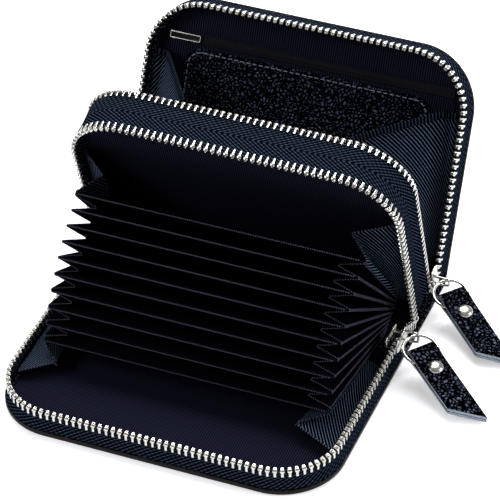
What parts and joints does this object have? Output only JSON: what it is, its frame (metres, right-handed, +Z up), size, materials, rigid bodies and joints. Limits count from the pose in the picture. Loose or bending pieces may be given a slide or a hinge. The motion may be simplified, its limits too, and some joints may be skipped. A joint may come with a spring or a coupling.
{
  "type": "zip wallet",
  "caption": "Zip-around leather card wallet, opened: accordion card leaves between a flat front cover and a thick zipped divider, and a rear note compartment with a leaning back cover.",
  "frame": {"origin": "middle of the spine's flat underside, on the table", "axes": "+X along the spine towards the sliders and pull tabs, -Y towards the free edge of the flat front cover, +Z up"},
  "size_m": [0.1498, 0.1492, 0.0769],
  "materials": {
    "pebbled_leather": "pebbled, semi-matt",
    "nylon_lining": "twill",
    "zip_tape": "herringbone",
    "nickel": "bright nickel plate",
    "black_enamel": "gloss enamel"
  },
  "bodies": {
    "spine": {"spine_leather": "pebbled_leather", "spine_lining": "nylon_lining", "leaf_root": "nylon_lining"},
    "front_cover": {"front_cover_leather": "pebbled_leather", "front_cover_lining": "nylon_lining", "front_cover_tape": "zip_tape", "front_cover_teeth": "nickel", "front_gusset_left": "nylon_lining", "front_gusset_right": "nylon_lining", "front_zip_end_left": "zip_tape", "front_zip_end_right": "zip_tape"},
    "divider": {"divider_panel": "nylon_lining", "divider_tape_front": "zip_tape", "divider_tape_rear": "zip_tape", "divider_teeth_front": "nickel", "divider_teeth_rear": "nickel", "divider_gusset_left": "nylon_lining", "divider_gusset_right": "nylon_lining"},
    "back_cover": {"back_cover_leather": "pebbled_leather", "back_cover_lining": "nylon_lining", "back_cover_tape": "zip_tape", "back_cover_teeth": "nickel", "back_slip_pocket": "nylon_lining", "back_note_pocket": "nylon_lining", "inner_pocket_zip": "zip_tape", "inner_pocket_pull": "black_enamel", "back_gusset_left": "nylon_lining", "back_gusset_right": "nylon_lining", "rear_zip_end_left": "zip_tape", "rear_zip_end_right": "zip_tape"},
    "leaf_1_body": {"leaf_1": "nylon_lining"},
    "leaf_2_body": {"leaf_2": "nylon_lining"},
    "leaf_3_body": {"leaf_3": "nylon_lining"},
    "leaf_4_body": {"leaf_4": "nylon_lining"},
    "leaf_5_body": {"leaf_5": "nylon_lining"},
    "leaf_6_body": {"leaf_6": "nylon_lining"},
    "leaf_7_body": {"leaf_7": "nylon_lining"},
    "leaf_8_body": {"leaf_8": "nylon_lining"},
    "leaf_9_body": {"leaf_9": "nylon_lining"},
    "leaf_10_body": {"leaf_10": "nylon_lining", "leaf_gusset_left": "nylon_lining", "leaf_gusset_right": "nylon_lining"},
    "front_slider_body": {"front_slider": "nickel"},
    "front_ring_body": {"front_ring": "nickel"},
    "front_pull_body": {"front_pull_tab": "pebbled_leather", "front_rivet": "nickel"},
    "rear_slider_body": {"rear_slider": "nickel"},
    "rear_ring_body": {"rear_ring": "nickel"},
    "rear_pull_body": {"rear_pull_tab": "pebbled_leather", "rear_rivet": "nickel"}
  },
  "joints": [
    {"name": "front_cover_hinge", "type": "hinge", "parent": "spine", "child": "front_cover", "pos_m": [0, -0.01875, 0.001], "axis": [-1, 0, 0], "range_deg": [0, 90], "deforming": ["front_gusset_left", "front_gusset_right", "front_zip_end_left", "front_zip_end_right"]},
    {"name": "divider_hinge", "type": "hinge", "parent": "spine", "child": "divider", "pos_m": [0, 0, 0.0042], "axis": [-1, 0, 0], "range_deg": [0, 15.5], "deforming": ["divider_gusset_left", "divider_gusset_right"]},
    {"name": "back_cover_hinge", "type": "hinge", "parent": "spine", "child": "back_cover", "pos_m": [0, 0.01875, 0.001], "axis": [1, 0, 0], "range_deg": [0, 27.1], "deforming": ["back_gusset_left", "back_gusset_right", "rear_zip_end_left", "rear_zip_end_right"]},
    {"name": "leaf_1_hinge", "type": "hinge", "parent": "spine", "child": "leaf_1_body", "pos_m": [0, -0.00375, 0.00876], "axis": [-1, 0, 0], "range_deg": [0, 37.91]},
    {"name": "leaf_2_hinge", "type": "hinge", "parent": "spine", "child": "leaf_2_body", "pos_m": [0, -0.00505, 0.00862], "axis": [-1, 0, 0], "range_deg": [0, 42.57]},
    {"name": "leaf_3_hinge", "type": "hinge", "parent": "spine", "child": "leaf_3_body", "pos_m": [0, -0.00635, 0.00839], "axis": [-1, 0, 0], "range_deg": [0, 47.22]},
    {"name": "leaf_4_hinge", "type": "hinge", "parent": "spine", "child": "leaf_4_body", "pos_m": [0, -0.00765, 0.00808], "axis": [-1, 0, 0], "range_deg": [0, 51.88]},
    {"name": "leaf_5_hinge", "type": "hinge", "parent": "spine", "child": "leaf_5_body", "pos_m": [0, -0.00895, 0.00768], "axis": [-1, 0, 0], "range_deg": [0, 56.53]},
    {"name": "leaf_6_hinge", "type": "hinge", "parent": "spine", "child": "leaf_6_body", "pos_m": [0, -0.01025, 0.0072], "axis": [-1, 0, 0], "range_deg": [0, 61.19]},
    {"name": "leaf_7_hinge", "type": "hinge", "parent": "spine", "child": "leaf_7_body", "pos_m": [0, -0.01155, 0.00663], "axis": [-1, 0, 0], "range_deg": [0, 65.84]},
    {"name": "leaf_8_hinge", "type": "hinge", "parent": "spine", "child": "leaf_8_body", "pos_m": [0, -0.01285, 0.00597], "axis": [-1, 0, 0], "range_deg": [0, 70.5]},
    {"name": "leaf_9_hinge", "type": "hinge", "parent": "spine", "child": "leaf_9_body", "pos_m": [0, -0.01415, 0.00523], "axis": [-1, 0, 0], "range_deg": [0, 75.15]},
    {"name": "leaf_10_hinge", "type": "hinge", "parent": "spine", "child": "leaf_10_body", "pos_m": [0, -0.01545, 0.0044], "axis": [-1, 0, 0], "range_deg": [0, 79.81], "deforming": ["leaf_gusset_left", "leaf_gusset_right"]},
    {"name": "front_slider_slide", "type": "slide", "parent": "front_cover", "child": "front_slider_body", "axis": [0, -1, 0], "range_m": [0, 0.045]},
    {"name": "front_ring_swing", "type": "hinge", "parent": "front_slider_body", "child": "front_ring_body", "pos_m": [0.0599, -0.02155, 0.01073], "axis": [-0.6225, -0.7826, 0], "range_deg": [0, 45]},
    {"name": "front_pull_swing", "type": "hinge", "parent": "front_ring_body", "child": "front_pull_body", "pos_m": [0.0676, -0.02767, 0.00842], "axis": [-0.6225, -0.7826, 0], "range_deg": [0, 12]},
    {"name": "rear_slider_slide", "type": "slide", "parent": "divider", "child": "rear_slider_body", "axis": [0, -0.2672, 0.9636], "range_m": [0, 0.045]},
    {"name": "rear_ring_swing", "type": "hinge", "parent": "rear_slider_body", "child": "rear_ring_body", "pos_m": [0.0599, 0.00752, 0.01085], "axis": [-0.6428, -0.766, 0], "range_deg": [0, 70]},
    {"name": "rear_pull_swing", "type": "hinge", "parent": "rear_ring_body", "child": "rear_pull_body", "pos_m": [0.06743, 0.00121, 0.00851], "axis": [-0.6428, -0.766, 0], "range_deg": [0, 12]}
  ],
  "couplings": [
    {"joint": "divider_hinge", "follows": "front_cover_hinge", "ratio": 0.17222},
    {"joint": "leaf_1_hinge", "follows": "front_cover_hinge", "ratio": 0.42111},
    {"joint": "leaf_2_hinge", "follows": "front_cover_hinge", "ratio": 0.47284},
    {"joint": "leaf_3_hinge", "follows": "front_cover_hinge", "ratio": 0.52457},
    {"joint": "leaf_4_hinge", "follows": "front_cover_hinge", "ratio": 0.5763},
    {"joint": "leaf_5_hinge", "follows": "front_cover_hinge", "ratio": 0.62803},
    {"joint": "leaf_6_hinge", "follows": "front_cover_hinge", "ratio": 0.67975},
    {"joint": "leaf_7_hinge", "follows": "front_cover_hinge", "ratio": 0.73148},
    {"joint": "leaf_8_hinge", "follows": "front_cover_hinge", "ratio": 0.78321},
    {"joint": "leaf_9_hinge", "follows": "front_cover_hinge", "ratio": 0.83494},
    {"joint": "leaf_10_hinge", "follows": "front_cover_hinge", "ratio": 0.88667}
  ]
}
